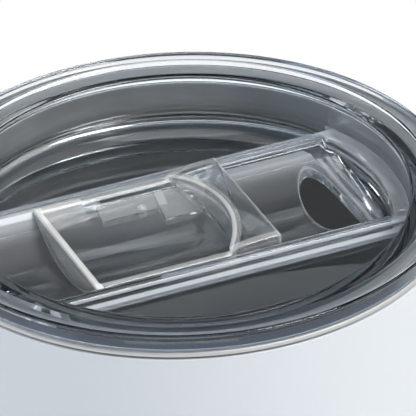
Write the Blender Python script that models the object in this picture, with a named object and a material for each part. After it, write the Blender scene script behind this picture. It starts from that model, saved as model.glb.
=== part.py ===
"""Insulated tumbler with a clear press-in lid and a sliding closure.

Metres, +Z up. The origin is the centre of the base, on the table. The closure slides along +X.
"""

import math

import bmesh
import bpy
from mathutils import Vector

MM = 0.001

# Tumbler body
BODY_RADIUS = 37.0 * MM
BODY_HEIGHT = 203.0 * MM
SHEET = 0.5 * MM
VACUUM_GAP = 2.6 * MM
LIP_HEIGHT = 0.7 * MM
LIP_ROUND = 0.25 * MM
LINER_FLOOR_RISE = 12.0 * MM
LINER_CORNER = 6.0 * MM

# Base of the body
BASE_CORNER = 2.0 * MM
BASE_CURL = 4.0 * MM
COVER_RECESS = 0.1 * MM
BOTTOM_SKIRT = 5.0 * MM
DIMPLE_RADIUS = 6.0 * MM
DIMPLE_RISE = 1.8 * MM
EVACUATION_RADIUS = 1.5 * MM
BEAD_RADIUS = 3.0 * MM
BEAD_THICKNESS = 0.8 * MM
GETTER_X = 20.0 * MM
GETTER_CUP_RADIUS = 4.0 * MM
GETTER_CUP_HEIGHT = 2.2 * MM
GETTER_CUP_WALL = 0.4 * MM
PELLET_HEIGHT = 1.2 * MM

# Lid
FLANGE_THICKNESS = 2.3 * MM
FLANGE_ROUND = 0.5 * MM
RIM_LAND_WIDTH = 3.0 * MM
RIM_STEP = 0.6 * MM
PLUG_CLEARANCE = 0.4 * MM
PLUG_WALL = 2.2 * MM
PLUG_DEPTH = 12.6 * MM
WELL_DEPTH = 6.1 * MM
WELL_FLOOR = 1.6 * MM
GROOVE_TOP = 8.4 * MM
GROOVE_HEIGHT = 2.6 * MM
GROOVE_DEPTH = 1.2 * MM
GASKET_ROUND = 0.35 * MM

# Channel in the lid
RAIL_DROP = 4.8 * MM
RAIL_WIDTH = 1.4 * MM
CHANNEL_FLOOR = 1.4 * MM
CHANNEL_END_WALL = 2.3 * MM
HOLE_X = 22.1 * MM
HOLE_HALF_X = 3.2 * MM
HOLE_HALF_Y = 8.5 * MM

# Slider
SLIDER_WIDTH = 22.4 * MM
SLIDER_LEFT = -17.4 * MM
SLIDER_LENGTH = 27.0 * MM
SLIDER_TRAVEL = 16.0 * MM
SLIDER_SIDE = 1.6 * MM
SLIDER_DEPTH = 4.6 * MM
SLIDER_WALL = 1.2 * MM
SLIDER_END_WALL = 1.0 * MM
CRESCENT_REACH = 23.2 * MM
CRESCENT_RADIUS = 16.4 * MM
DECK_RISE = 1.2 * MM
DECK_THICKNESS = 1.2 * MM
DECK_START = 19.6 * MM
DECK_CREST = 25.4 * MM
RIB_START = 9.4 * MM
RIB_LENGTH = 16.0 * MM
RIB_PROUD = 0.5 * MM
RIB_HEIGHT = 0.5 * MM
RIB_DROP = 1.0 * MM

# Fits and fineness
FIT = 0.3 * MM
OVERCUT = 2.0 * MM
SEGMENTS = 60
ARC_STEPS = 4
TROUGH_STEPS = 14
MERGE = 0.001 * MM

# Places worked out from the sizes above
SHELL_INNER = BODY_RADIUS - SHEET
LINER_OUTER = SHELL_INNER - VACUUM_GAP
LINER_INNER = LINER_OUTER - SHEET
LIP_BOTTOM = BODY_HEIGHT - LIP_HEIGHT
SHELL_TOP = LIP_BOTTOM - FIT
CURL_RADIUS = BODY_RADIUS - BASE_CURL
SHELL_BOTTOM_Z = SHEET + FIT
DIMPLE_Z = SHELL_BOTTOM_Z + DIMPLE_RISE
LID_TOP = BODY_HEIGHT + FIT + FLANGE_THICKNESS
STEP_RADIUS = BODY_RADIUS - RIM_LAND_WIDTH
PLUG_RADIUS = LINER_INNER - PLUG_CLEARANCE
WELL_RADIUS = PLUG_RADIUS - PLUG_WALL
GROOVE_RADIUS = PLUG_RADIUS - GROOVE_DEPTH
SLIDER_HALF = SLIDER_WIDTH / 2
SLIDER_RIGHT = SLIDER_LEFT + SLIDER_LENGTH
CAVITY_HALF = SLIDER_HALF + FIT
CHANNEL_HALF = CAVITY_HALF + RAIL_WIDTH
CHANNEL_END = WELL_RADIUS - CHANNEL_END_WALL
CRESCENT_X = SLIDER_LEFT + CRESCENT_REACH - CRESCENT_RADIUS


def clear_scene():
    """Remove whatever the scene holds."""
    for item in list(bpy.data.objects):
        bpy.data.objects.remove(item, do_unlink=True)


def make_material(name, colour, roughness, metallic, transmission=0.0):
    """A Principled material with the given look."""
    material = bpy.data.materials.new(name)
    material.use_nodes = True
    shader = material.node_tree.nodes["Principled BSDF"]
    shader.inputs["Base Color"].default_value = (*colour, 1.0)
    shader.inputs["Roughness"].default_value = roughness
    shader.inputs["Metallic"].default_value = metallic
    shader.inputs["Transmission Weight"].default_value = transmission
    return material


def make_object(name, mesh_data, material, parent):
    """Turn a bmesh into a smooth-shaded object under its parent."""
    bmesh.ops.remove_doubles(mesh_data, verts=mesh_data.verts, dist=MERGE)
    bmesh.ops.recalc_face_normals(mesh_data, faces=mesh_data.faces)
    mesh = bpy.data.meshes.new(name)
    mesh_data.to_mesh(mesh)
    mesh_data.free()
    mesh.shade_smooth()
    mesh.set_sharp_from_angle(angle=math.radians(30))
    if material:
        mesh.materials.append(material)
    item = bpy.data.objects.new(name, mesh)
    item.parent = parent
    bpy.context.collection.objects.link(item)
    return item


def round_corners(corners, closed):
    """Replace each (x, z, radius) corner by an arc, and return plain (x, z) points."""
    points = []
    for index, (x, z, radius) in enumerate(corners):
        corner = Vector((x, z))
        at_end = not closed and index in (0, len(corners) - 1)
        if radius <= 0 or at_end:
            points.append(corner)
            continue
        before = (Vector(corners[index - 1][:2]) - corner).normalized()
        after = (Vector(corners[(index + 1) % len(corners)][:2]) - corner).normalized()
        half = before.angle(after) / 2
        centre = corner + (before + after).normalized() * (radius / math.sin(half))
        start = corner + before * (radius / math.tan(half)) - centre
        sweep = start.angle_signed(corner + after * (radius / math.tan(half)) - centre)
        for step in range(ARC_STEPS + 1):
            turn = -sweep * step / ARC_STEPS
            points.append(centre + Vector((
                start.x * math.cos(turn) - start.y * math.sin(turn),
                start.x * math.sin(turn) + start.y * math.cos(turn))))
    return points


def lathe(name, corners, closed, material, parent):
    """Spin a profile of (radius, height, corner radius) about Z."""
    shape = bmesh.new()
    chain = [shape.verts.new((p.x, 0.0, p.y)) for p in round_corners(corners, closed)]
    pairs = list(zip(chain, chain[1:]))
    if closed:
        pairs.append((chain[-1], chain[0]))
    edges = [shape.edges.new(pair) for pair in pairs]
    bmesh.ops.spin(shape, geom=chain + edges, cent=(0, 0, 0), axis=(0, 0, 1),
                   angle=math.tau, steps=SEGMENTS, use_merge=True)
    bmesh.ops.remove_doubles(shape, verts=shape.verts, dist=MERGE)
    bmesh.ops.dissolve_degenerate(shape, edges=shape.edges, dist=MERGE)
    return make_object(name, shape, material, parent)


def prism(name, outline, offset, material, parent):
    """Extrude a flat outline of 3-D points by an offset."""
    shape = bmesh.new()
    face = shape.faces.new([shape.verts.new(point) for point in outline])
    grown = bmesh.ops.extrude_face_region(shape, geom=[face])
    moved = [part for part in grown["geom"] if isinstance(part, bmesh.types.BMVert)]
    bmesh.ops.translate(shape, verts=moved, vec=offset)
    return make_object(name, shape, material, parent)


def trough_outline(x, half_width, top, spring, bottom):
    """Section of a round-bottomed trough at x: upright sides from top to spring, then one arc."""
    sag = spring - bottom
    radius = (half_width ** 2 + sag ** 2) / (2 * sag)
    reach = math.asin(half_width / radius)
    points = [(x, half_width, top)]
    for step in range(TROUGH_STEPS + 1):
        angle = reach * (1 - 2 * step / TROUGH_STEPS)
        points.append((x, radius * math.sin(angle), bottom + radius * (1 - math.cos(angle))))
    points.append((x, -half_width, top))
    return points


def ellipse_outline(x, half_x, half_y, z):
    """Ellipse in the XY plane, centred on the X axis."""
    turns = [math.tau * step / SEGMENTS for step in range(SEGMENTS)]
    return [(x + half_x * math.cos(turn), half_y * math.sin(turn), z) for turn in turns]


def box(name, low, high, parent):
    """Block between two corners."""
    outline = [(low[0], low[1], low[2]), (high[0], low[1], low[2]),
               (high[0], high[1], low[2]), (low[0], high[1], low[2])]
    return prism(name, outline, (0, 0, high[2] - low[2]), None, parent)


def combine(target, tool, operation):
    """Apply a tool shape to the target by a Boolean, and keep the tool as a hidden guide."""
    tool.hide_render = True
    tool.display_type = "WIRE"
    modifier = target.modifiers.new(f"{operation.lower()}_{tool.name}", "BOOLEAN")
    modifier.operation = operation
    modifier.solver = "EXACT"
    modifier.object = tool


def make_frame(name, height, parent=None):
    """Empty that carries the pieces of one moving group."""
    frame = bpy.data.objects.new(name, None)
    frame.location = (0, 0, height)
    frame.parent = parent
    bpy.context.collection.objects.link(frame)
    return frame


def build_body(coat, steel, parent):
    """Double wall, its bottom, the cover plate and the vacuum seal."""
    lathe("outer_shell", [
        (BODY_RADIUS, SHELL_TOP, 0), (BODY_RADIUS, 0, BASE_CORNER), (CURL_RADIUS, 0, 0),
        (CURL_RADIUS, SHEET, 0), (SHELL_INNER, SHEET, BASE_CORNER - SHEET),
        (SHELL_INNER, SHELL_TOP, 0)], True, coat, parent)
    lathe("inner_liner", [
        (0, LINER_FLOOR_RISE - SHEET, 0), (LINER_OUTER, LINER_FLOOR_RISE - SHEET, LINER_CORNER),
        (LINER_OUTER, LIP_BOTTOM, 0), (BODY_RADIUS, LIP_BOTTOM, 0),
        (BODY_RADIUS, BODY_HEIGHT, LIP_ROUND), (LINER_INNER, BODY_HEIGHT, LIP_ROUND),
        (LINER_INNER, LINER_FLOOR_RISE, LINER_CORNER - SHEET), (0, LINER_FLOOR_RISE, 0)],
        False, steel, parent)
    skirt = SHELL_INNER - FIT
    skirt_top = SHELL_BOTTOM_Z + BOTTOM_SKIRT
    plate_top = SHELL_BOTTOM_Z + SHEET
    lathe("shell_bottom", [
        (EVACUATION_RADIUS, DIMPLE_Z, 0), (DIMPLE_RADIUS - SHEET, DIMPLE_Z, 0),
        (DIMPLE_RADIUS - SHEET, SHELL_BOTTOM_Z, 0),
        (skirt, SHELL_BOTTOM_Z, BASE_CORNER - SHEET - FIT), (skirt, skirt_top, 0),
        (skirt - SHEET, skirt_top, 0), (skirt - SHEET, plate_top, 0), (DIMPLE_RADIUS, plate_top, 0),
        (DIMPLE_RADIUS, DIMPLE_Z + SHEET, 0), (EVACUATION_RADIUS, DIMPLE_Z + SHEET, 0)],
        True, steel, parent)
    cover = CURL_RADIUS - FIT
    lathe("base_cover", [
        (0, COVER_RECESS, 0), (cover, COVER_RECESS, 0), (cover, SHEET, 0), (0, SHEET, 0)],
        False, steel, parent)


def build_vacuum_parts(solder, steel, getter, parent):
    """Seal bead in the evacuation hole, and the getter in its cup."""
    stem = EVACUATION_RADIUS - FIT
    head_top = DIMPLE_Z - FIT
    stem_top = DIMPLE_Z + SHEET + FIT
    lathe("seal_bead", [
        (0, head_top - BEAD_THICKNESS, 0), (BEAD_RADIUS, head_top - BEAD_THICKNESS, 0),
        (BEAD_RADIUS, head_top, 0), (stem, head_top, 0), (stem, stem_top, 0), (0, stem_top, 0)],
        False, solder, parent)
    seat = make_frame("getter_seat", SHELL_BOTTOM_Z + SHEET + FIT, parent)
    seat.location.x = GETTER_X
    inner = GETTER_CUP_RADIUS - GETTER_CUP_WALL
    lathe("getter_holder", [
        (0, 0, 0), (GETTER_CUP_RADIUS, 0, 0), (GETTER_CUP_RADIUS, GETTER_CUP_HEIGHT, 0),
        (inner, GETTER_CUP_HEIGHT, 0), (inner, GETTER_CUP_WALL, 0), (0, GETTER_CUP_WALL, 0)],
        False, steel, seat)
    pellet_low = GETTER_CUP_WALL + FIT
    pellet_radius = inner - FIT
    lathe("getter_pellet", [
        (0, pellet_low, 0), (pellet_radius, pellet_low, 0),
        (pellet_radius, pellet_low + PELLET_HEIGHT, 0), (0, pellet_low + PELLET_HEIGHT, 0)],
        False, getter, seat)


def build_lid(clear, parent):
    """Clear lid with its channel, rib grooves and drink hole. Heights count from the rim's top."""
    groove_bottom = -GROOVE_TOP - GROOVE_HEIGHT
    lid = lathe("lid_body", [
        (0, -WELL_DEPTH, 0), (WELL_RADIUS, -WELL_DEPTH, 0), (WELL_RADIUS, -RIM_STEP, 0),
        (STEP_RADIUS, -RIM_STEP, 0), (STEP_RADIUS, 0, 0), (BODY_RADIUS, 0, FLANGE_ROUND),
        (BODY_RADIUS, -FLANGE_THICKNESS, FLANGE_ROUND), (PLUG_RADIUS, -FLANGE_THICKNESS, 0),
        (PLUG_RADIUS, -GROOVE_TOP, 0), (GROOVE_RADIUS, -GROOVE_TOP, 0),
        (GROOVE_RADIUS, groove_bottom, 0), (PLUG_RADIUS, groove_bottom, 0),
        (PLUG_RADIUS, -PLUG_DEPTH, 0), (WELL_RADIUS, -PLUG_DEPTH, 0),
        (WELL_RADIUS, -WELL_DEPTH - WELL_FLOOR, 0), (0, -WELL_DEPTH - WELL_FLOOR, 0)],
        False, clear, parent)

    spring = -RAIL_DROP - SLIDER_SIDE
    cavity_bottom = -RAIL_DROP - SLIDER_DEPTH - FIT
    full = (2 * BODY_RADIUS, 0, 0)
    tall = (0, 0, PLUG_DEPTH + 2 * OVERCUT)
    low = -PLUG_DEPTH - OVERCUT

    channel = prism("channel_block", trough_outline(
        -BODY_RADIUS, CHANNEL_HALF, -RAIL_DROP, spring, cavity_bottom - CHANNEL_FLOOR),
        full, None, parent)
    seat_radius = WELL_RADIUS + (GROOVE_RADIUS - WELL_RADIUS) / 2
    combine(channel, prism("channel_seat", ellipse_outline(0, seat_radius, seat_radius, low),
                           tall, None, parent), "INTERSECT")
    combine(lid, channel, "UNION")

    cavity = prism("channel_cavity", trough_outline(
        -BODY_RADIUS, CAVITY_HALF, OVERCUT, spring, cavity_bottom), full, None, parent)
    combine(cavity, prism("channel_ends", ellipse_outline(0, CHANNEL_END, CHANNEL_END, low),
                          tall, None, parent), "INTERSECT")
    combine(lid, cavity, "DIFFERENCE")

    hole = prism("drink_hole", ellipse_outline(HOLE_X, HOLE_HALF_X, HOLE_HALF_Y, low),
                 tall, None, parent)
    combine(lid, hole, "DIFFERENCE")

    groove_left = SLIDER_LEFT + RIB_START - FIT
    groove_right = SLIDER_LEFT + RIB_START + RIB_LENGTH + SLIDER_TRAVEL + FIT
    groove_half = RIB_HEIGHT / 2 + FIT
    groove = box("rib_grooves",
                 (groove_left, -CAVITY_HALF - RIB_PROUD, -RAIL_DROP - RIB_DROP - groove_half),
                 (groove_right, CAVITY_HALF + RIB_PROUD, -RAIL_DROP - RIB_DROP + groove_half),
                 parent)
    combine(lid, groove, "DIFFERENCE")


def build_gasket(silicone, parent):
    """Sealing ring in the plug's groove."""
    inner = GROOVE_RADIUS + FIT
    outer = LINER_INNER - FIT
    top = -GROOVE_TOP - FIT
    bottom = -GROOVE_TOP - GROOVE_HEIGHT + FIT
    lathe("lid_gasket", [
        (inner, top, 0), (outer, top, GASKET_ROUND), (outer, bottom, GASKET_ROUND),
        (inner, bottom, 0)], True, silicone, parent)


def deck_trim(parent):
    """Tool that lowers the slider's sides to the rails and leaves the deck's rounded ramp."""
    start = SLIDER_LEFT + DECK_START
    crest = SLIDER_LEFT + DECK_CREST
    outline = [(SLIDER_LEFT - OVERCUT, 0.0)]
    for step in range(ARC_STEPS + 1):
        turn = math.pi / 2 * step / ARC_STEPS
        outline.append((crest - (crest - start) * math.cos(turn), DECK_RISE * math.sin(turn)))
    outline += [(crest, DECK_RISE + OVERCUT), (SLIDER_LEFT - OVERCUT, DECK_RISE + OVERCUT)]
    points = [(x, -SLIDER_WIDTH, z) for x, z in outline]
    return prism("deck_trim", points, (0, 2 * SLIDER_WIDTH, 0), None, parent)


def build_slider(clear, parent):
    """Boat-shaped closure with a thumb recess and a hollow deck. Heights count from the rails."""
    spring = -SLIDER_SIDE
    inner_half = SLIDER_HALF - SLIDER_WALL
    inner_bottom = -SLIDER_DEPTH + SLIDER_WALL
    low = -SLIDER_DEPTH - OVERCUT
    tall = (0, 0, SLIDER_DEPTH + DECK_RISE + 2 * OVERCUT)

    slider = prism("slider", trough_outline(
        SLIDER_LEFT, SLIDER_HALF, DECK_RISE, spring, -SLIDER_DEPTH),
        (SLIDER_LENGTH, 0, 0), clear, parent)
    combine(slider, deck_trim(parent), "DIFFERENCE")

    recess_left = SLIDER_LEFT + SLIDER_END_WALL
    recess = prism("thumb_recess", trough_outline(
        recess_left, inner_half, DECK_RISE + OVERCUT, spring, inner_bottom),
        (SLIDER_LENGTH, 0, 0), None, parent)
    combine(recess, prism("crescent_face", ellipse_outline(
        CRESCENT_X, CRESCENT_RADIUS, CRESCENT_RADIUS, low), tall, None, parent), "INTERSECT")
    combine(slider, recess, "DIFFERENCE")

    pocket = prism("deck_pocket", trough_outline(
        CRESCENT_X, inner_half, DECK_RISE - DECK_THICKNESS, spring, inner_bottom),
        (SLIDER_RIGHT - CRESCENT_X + OVERCUT, 0, 0), None, parent)
    crescent_back = CRESCENT_RADIUS + SLIDER_WALL
    combine(pocket, prism("crescent_back", ellipse_outline(
        CRESCENT_X, crescent_back, crescent_back, low), tall, None, parent), "DIFFERENCE")
    combine(slider, pocket, "DIFFERENCE")

    rib_left = SLIDER_LEFT + RIB_START
    for side, name in ((1, "rib_rear"), (-1, "rib_front")):
        ends = sorted((side * (SLIDER_HALF - SLIDER_WALL / 2), side * (SLIDER_HALF + RIB_PROUD)))
        rib = box(name, (rib_left, ends[0], -RIB_DROP - RIB_HEIGHT / 2),
                  (rib_left + RIB_LENGTH, ends[1], -RIB_DROP + RIB_HEIGHT / 2), parent)
        combine(slider, rib, "UNION")


def main():
    """Build the whole tumbler."""
    clear_scene()
    coat = make_material("white_coat", (0.85, 0.87, 0.89), 0.15, 0.0)
    steel = make_material("bare_steel", (0.62, 0.62, 0.62), 0.25, 1.0)
    solder = make_material("solder", (0.25, 0.26, 0.28), 0.4, 0.0)
    getter = make_material("getter", (0.18, 0.18, 0.19), 0.7, 0.3)
    clear = make_material("clear_plastic", (0.93, 0.95, 0.96), 0.03, 0.0, 1.0)
    silicone = make_material("clear_silicone", (0.86, 0.89, 0.91), 0.4, 0.0, 0.6)

    body_frame = make_frame("body_frame", 0.0)
    lid_frame = make_frame("lid_frame", LID_TOP)
    slider_frame = make_frame("slider_frame", -RAIL_DROP, lid_frame)
    build_body(coat, steel, body_frame)
    build_vacuum_parts(solder, steel, getter, body_frame)
    build_lid(clear, lid_frame)
    build_gasket(silicone, lid_frame)
    build_slider(clear, slider_frame)


main()
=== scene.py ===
"""Looks of the insulated tumbler: coated wall, steel liner, clear lid and its sliding closure.

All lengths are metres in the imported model's frame. The base stands at z = 0.
"""

import logging
import math
from dataclasses import dataclass, field, replace
from enum import Enum
from typing import Any, Optional, Sequence, Union

import bpy
from mathutils import Matrix, Vector


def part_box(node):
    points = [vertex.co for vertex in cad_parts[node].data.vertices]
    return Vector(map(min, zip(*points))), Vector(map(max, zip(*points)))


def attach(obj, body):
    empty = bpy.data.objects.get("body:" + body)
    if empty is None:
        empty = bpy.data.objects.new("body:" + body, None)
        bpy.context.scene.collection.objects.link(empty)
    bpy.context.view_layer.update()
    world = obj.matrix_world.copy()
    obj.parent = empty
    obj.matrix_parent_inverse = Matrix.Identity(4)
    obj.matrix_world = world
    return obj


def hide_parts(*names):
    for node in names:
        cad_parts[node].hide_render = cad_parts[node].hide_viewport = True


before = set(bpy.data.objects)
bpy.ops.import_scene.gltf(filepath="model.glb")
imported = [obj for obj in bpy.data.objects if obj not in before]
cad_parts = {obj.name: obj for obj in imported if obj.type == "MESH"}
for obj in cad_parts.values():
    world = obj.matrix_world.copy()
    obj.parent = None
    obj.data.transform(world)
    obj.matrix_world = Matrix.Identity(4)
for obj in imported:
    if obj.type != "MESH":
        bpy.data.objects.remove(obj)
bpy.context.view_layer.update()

LOG = logging.getLogger("tumbler")
MM = 0.001

Piece = bpy.types.Object
Pair = tuple[float, float]
# Across, height and rounding radius of a profile's corner
Corner = tuple[float, float, float]
# One number each for X, Y and Z
Triple = tuple[float, float, float]
Colour = tuple[float, float, float]
# Place and colour of a ramp's stop
Stop = tuple[float, Colour]
# Low and high limit, None where there is none
Band = tuple[Optional[float], Optional[float]]
Operand = Union[float, "Value"]

WHITE: Colour = (1.0, 1.0, 1.0)


class Join(Enum):
    """How a tool shape acts on a piece."""

    UNION = "UNION"
    CUT = "DIFFERENCE"
    KEEP_COMMON = "INTERSECT"


class Grain(Enum):
    """Way the polishing lines of a steel piece run, as noise scales along X, Y and Z."""

    TURNED = (25.0, 25.0, 2600.0)
    STAMPED = (420.0, 420.0, 420.0)


class Measure(Enum):
    """What the limits of a zone of painted light are measured along."""

    ALONG = "X"
    ACROSS = "Y on either side"
    REARWARD = "Y"
    HEIGHT = "Z"
    REACH = "distance from an upright axis"
    BORE = "distance from an axis along X"
    OVAL = "share of the way from an upright axis to an oval"


class Value:
    """Wraps a shader socket, so that sums and products add Math nodes."""

    def __init__(self, graph: "Graph", socket: bpy.types.NodeSocket) -> None:
        """Keep the graph and the output socket."""
        self.graph = graph
        self.socket = socket

    def _math(self, operation: str, first: Operand, second: Operand) -> "Value":
        """Add one Math node and give its result."""
        return self.graph.add("ShaderNodeMath", {"operation": operation}, {0: first, 1: second})

    def __add__(self, other: Operand) -> "Value":
        """Sum."""
        return self._math("ADD", self, other)

    __radd__ = __add__

    def __rsub__(self, other: Operand) -> "Value":
        """Difference from a number."""
        return self._math("SUBTRACT", other, self)

    def __mul__(self, other: Operand) -> "Value":
        """Product."""
        return self._math("MULTIPLY", self, other)

    def __abs__(self) -> "Value":
        """Size without its sign."""
        return self._math("ABSOLUTE", self, 0.0)


class Graph:
    """Node tree of one material or of the world, emptied and ready for nodes."""

    NOISE_DETAIL = 3.0
    MIX_SHARE = 0
    MIX_FIRST_COLOUR = 6
    MIX_SECOND_COLOUR = 7
    MIX_COLOUR_RESULT = 2

    def __init__(self, tree: bpy.types.NodeTree) -> None:
        """Empty the tree."""
        self.tree = tree
        tree.nodes.clear()

    def add(self, kind: str, settings: Optional[dict[str, Any]] = None,
            inputs: Optional[dict[Any, Any]] = None, output: Union[int, str] = 0) -> Optional[Value]:
        """Add a node.

        Args:
            kind: the node's type.
            settings: properties of the node, or the stops of a colour ramp, set first.
            inputs: socket names or numbers, with a plain value or a Value to link.
            output: socket whose result is returned.

        Returns:
            The chosen output, or None for a node without outputs.
        """
        node = self.tree.nodes.new(kind)
        for key, setting in (settings or {}).items():
            if key == "stops":
                self.set_stops(node.color_ramp, setting)
            else:
                setattr(node, key, setting)
        for key, value in (inputs or {}).items():
            if isinstance(value, Value):
                self.tree.links.new(value.socket, node.inputs[key])
            else:
                node.inputs[key].default_value = value
        return Value(self, node.outputs[output]) if node.outputs else None

    @staticmethod
    def set_stops(ramp: bpy.types.ColorRamp, stops: Sequence[Stop]) -> None:
        """Give a new colour ramp, which has two stops, two or more in rising order."""
        for index, (place, colour) in enumerate(stops):
            stop = ramp.elements[index] if index < len(ramp.elements) else ramp.elements.new(place)
            stop.position, stop.color = place, (*colour, 1.0)

    def place(self) -> Value:
        """Object coordinates."""
        return self.add("ShaderNodeTexCoord", output="Object")

    def coordinate(self, axis: str) -> Value:
        """Object coordinate along X, Y or Z."""
        return self.add("ShaderNodeSeparateXYZ", inputs={0: self.place()}, output=axis)

    def noise(self, scales: Triple) -> Value:
        """Noise on Object coordinates.

        Args:
            scales: noise cells per metre along X, Y and Z.

        Returns:
            The noise, about 0 to 1.
        """
        spread = self.add("ShaderNodeMapping", inputs={"Vector": self.place(), "Scale": scales})
        return self.add("ShaderNodeTexNoise", inputs={
            "Vector": spread, "Scale": 1.0, "Detail": self.NOISE_DETAIL})

    def tint(self, mask: Value, first: Union[Colour, Value], second: Union[Colour, Value]) -> Value:
        """Blend two colours by a mask.

        Args:
            mask: 0 for the first colour, 1 for the second.
            first: plain colour or a Value.
            second: plain colour or a Value.

        Returns:
            The blend.
        """
        ends = [shade if isinstance(shade, Value) else (*shade, 1.0) for shade in (first, second)]
        return self.add("ShaderNodeMix", {"data_type": "RGBA"}, {
            self.MIX_SHARE: mask, self.MIX_FIRST_COLOUR: ends[0], self.MIX_SECOND_COLOUR: ends[1],
        }, output=self.MIX_COLOUR_RESULT)

    def ramp(self, value: Value, start: float, end: float) -> Value:
        """Smooth step from 0 at the start to 1 at the end."""
        return self.add("ShaderNodeMapRange", {"interpolation_type": "SMOOTHSTEP"}, {
            "Value": value, "From Min": start, "From Max": end})

    def distance(self, scales: Triple, centre: Triple) -> Value:
        """Distance of Object coordinates from an axis.

        Args:
            scales: scale of each coordinate across the axis, 0 for the one along it.
            centre: where the axis stands.

        Returns:
            The distance.
        """
        offset = [-value * scale for value, scale in zip(centre, scales)]
        flat = self.add("ShaderNodeVectorMath", {"operation": "MULTIPLY_ADD"}, {
            0: self.place(), 1: scales, 2: offset})
        return self.add("ShaderNodeVectorMath", {"operation": "LENGTH"}, {0: flat}, output="Value")

    def bump(self, height: Value, strength: float, depth: float) -> Value:
        """Bump normal from a height of 0 to 1 that stands for the given depth."""
        return self.add("ShaderNodeBump", inputs={
            "Height": height, "Strength": strength, "Distance": depth})


@dataclass(frozen=True)
class Zone:
    """Part of a clear piece where a painted highlight, matt white mixed into the clear shader, stands in
    for light that its edges and curves catch.

    Its low limits are blurred over twice soft, its high limits over twice crisp.
    """

    share: float
    limits: dict[Measure, Band]
    axis: Triple = (0.0, 0.0, 0.0)
    oval: Pair = (1.0, 1.0)
    soft: float = 0.12 * MM
    crisp: float = 0.12 * MM

    def measured(self, graph: Graph, measure: Measure) -> Value:
        """Add the nodes that give one measure at each point of the surface."""
        scales = {
            Measure.REACH: (1.0, 1.0, 0.0),
            Measure.BORE: (0.0, 1.0, 1.0),
            Measure.OVAL: (1 / self.oval[0], 1 / self.oval[1], 0.0),
        }
        if measure in scales:
            return graph.distance(scales[measure], self.axis)
        if measure is Measure.ACROSS:
            return abs(graph.coordinate(Measure.REARWARD.value))
        return graph.coordinate(measure.value)

    def mask(self, graph: Graph) -> Operand:
        """Add the nodes that give the zone's share inside its limits and 0 outside."""
        inside: Operand = self.share
        for measure, (low, high) in self.limits.items():
            value = self.measured(graph, measure)
            if low is not None:
                inside = graph.ramp(value, low - self.soft, low + self.soft) * inside
            if high is not None:
                inside = (1.0 - graph.ramp(value, high - self.crisp, high + self.crisp)) * inside
        return inside


@dataclass(frozen=True)
class Finish:
    """A finish that varies a little over the surface, with the painted highlights of a clear piece: matt
    white mixed in where light would gather.
    """

    name: str
    slot: str
    light: Colour
    dark: Colour
    rough: float
    rough_spread: float
    cells: Triple
    relief: float
    relief_strength: float = 0.3
    fixed: dict[str, float] = field(default_factory=dict)
    broad_cells: Triple = (60.0, 60.0, 60.0)
    # Colour and roughness of the painted highlights: a matt white shader mixed into a clear piece where
    # its zones stand in for light it catches
    painted_light: Colour = (0.90, 0.90, 0.87)
    painted_light_rough: float = 0.3
    zones: tuple[Zone, ...] = ()

    def build(self) -> bpy.types.Material:
        """Make the material.

        Returns:
            The new material.
        """
        material = bpy.data.materials.new(self.name)
        material.use_nodes = True
        graph = Graph(material.node_tree)
        fine, broad = graph.noise(self.cells), graph.noise(self.broad_cells)
        shader = graph.add("ShaderNodeBsdfPrincipled", inputs={
            "Base Color": graph.tint(broad, self.dark, self.light),
            "Roughness": fine * self.rough_spread + self.rough,
            "Normal": graph.bump(fine, self.relief_strength, self.relief),
            **self.fixed,
        })
        # Painted highlights: the zones' masks mix a matt white shader into the clear one where light and
        # reflections would show
        if self.zones:
            painted_shader = graph.add("ShaderNodeBsdfPrincipled", inputs={
                "Base Color": (*self.painted_light, 1.0), "Roughness": self.painted_light_rough})
            share = sum(zone.mask(graph) for zone in self.zones)
            shader = graph.add("ShaderNodeMixShader", inputs={0: share, 1: shader, 2: painted_shader})
        graph.add("ShaderNodeOutputMaterial", inputs={"Surface": shader})
        return material


WHITE_COAT = Finish(
    "white_gloss_coat", "white_coat", light=(0.80, 0.835, 0.87), dark=(0.77, 0.805, 0.845),
    rough=0.10, rough_spread=0.06, cells=(650.0, 650.0, 650.0), relief=0.004 * MM,
    fixed={"Coat Weight": 0.4, "Coat Roughness": 0.05})
TURNED_STEEL = Finish(
    "turned_steel", "bare_steel", light=(0.72, 0.712, 0.70), dark=(0.64, 0.634, 0.622),
    rough=0.52, rough_spread=0.20, cells=Grain.TURNED.value, relief=0.006 * MM,
    fixed={"Metallic": 1.0})
STAMPED_STEEL = Finish(
    "stamped_steel", "bare_steel", light=(0.58, 0.58, 0.58), dark=(0.50, 0.50, 0.51),
    rough=0.25, rough_spread=0.15, cells=Grain.STAMPED.value, relief=0.010 * MM,
    fixed={"Metallic": 1.0})
CLEAR_PLASTIC = Finish(
    "clear_plastic", "clear_plastic", light=(0.965, 0.985, 1.0), dark=(0.945, 0.975, 0.995),
    rough=0.0, rough_spread=0.03, cells=(240.0, 240.0, 240.0), relief=0.010 * MM,
    relief_strength=0.12, fixed={"Transmission Weight": 1.0, "IOR": 1.53})
CLEAR_SILICONE = Finish(
    "clear_silicone", "clear_silicone", light=(0.90, 0.93, 0.95), dark=(0.84, 0.88, 0.90),
    rough=0.30, rough_spread=0.12, cells=(500.0, 500.0, 500.0), relief=0.010 * MM,
    fixed={"Transmission Weight": 0.7, "IOR": 1.41})
GLASS_SOLDER = Finish(
    "glass_solder", "solder", light=(0.26, 0.27, 0.29), dark=(0.16, 0.17, 0.19),
    rough=0.25, rough_spread=0.2, cells=(900.0, 900.0, 900.0), relief=0.05 * MM)
GETTER_POWDER = Finish(
    "getter_powder", "getter", light=(0.22, 0.22, 0.23), dark=(0.12, 0.12, 0.13),
    rough=0.65, rough_spread=0.25, cells=(2400.0, 2400.0, 2400.0), relief=0.08 * MM,
    fixed={"Metallic": 0.3})


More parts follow.
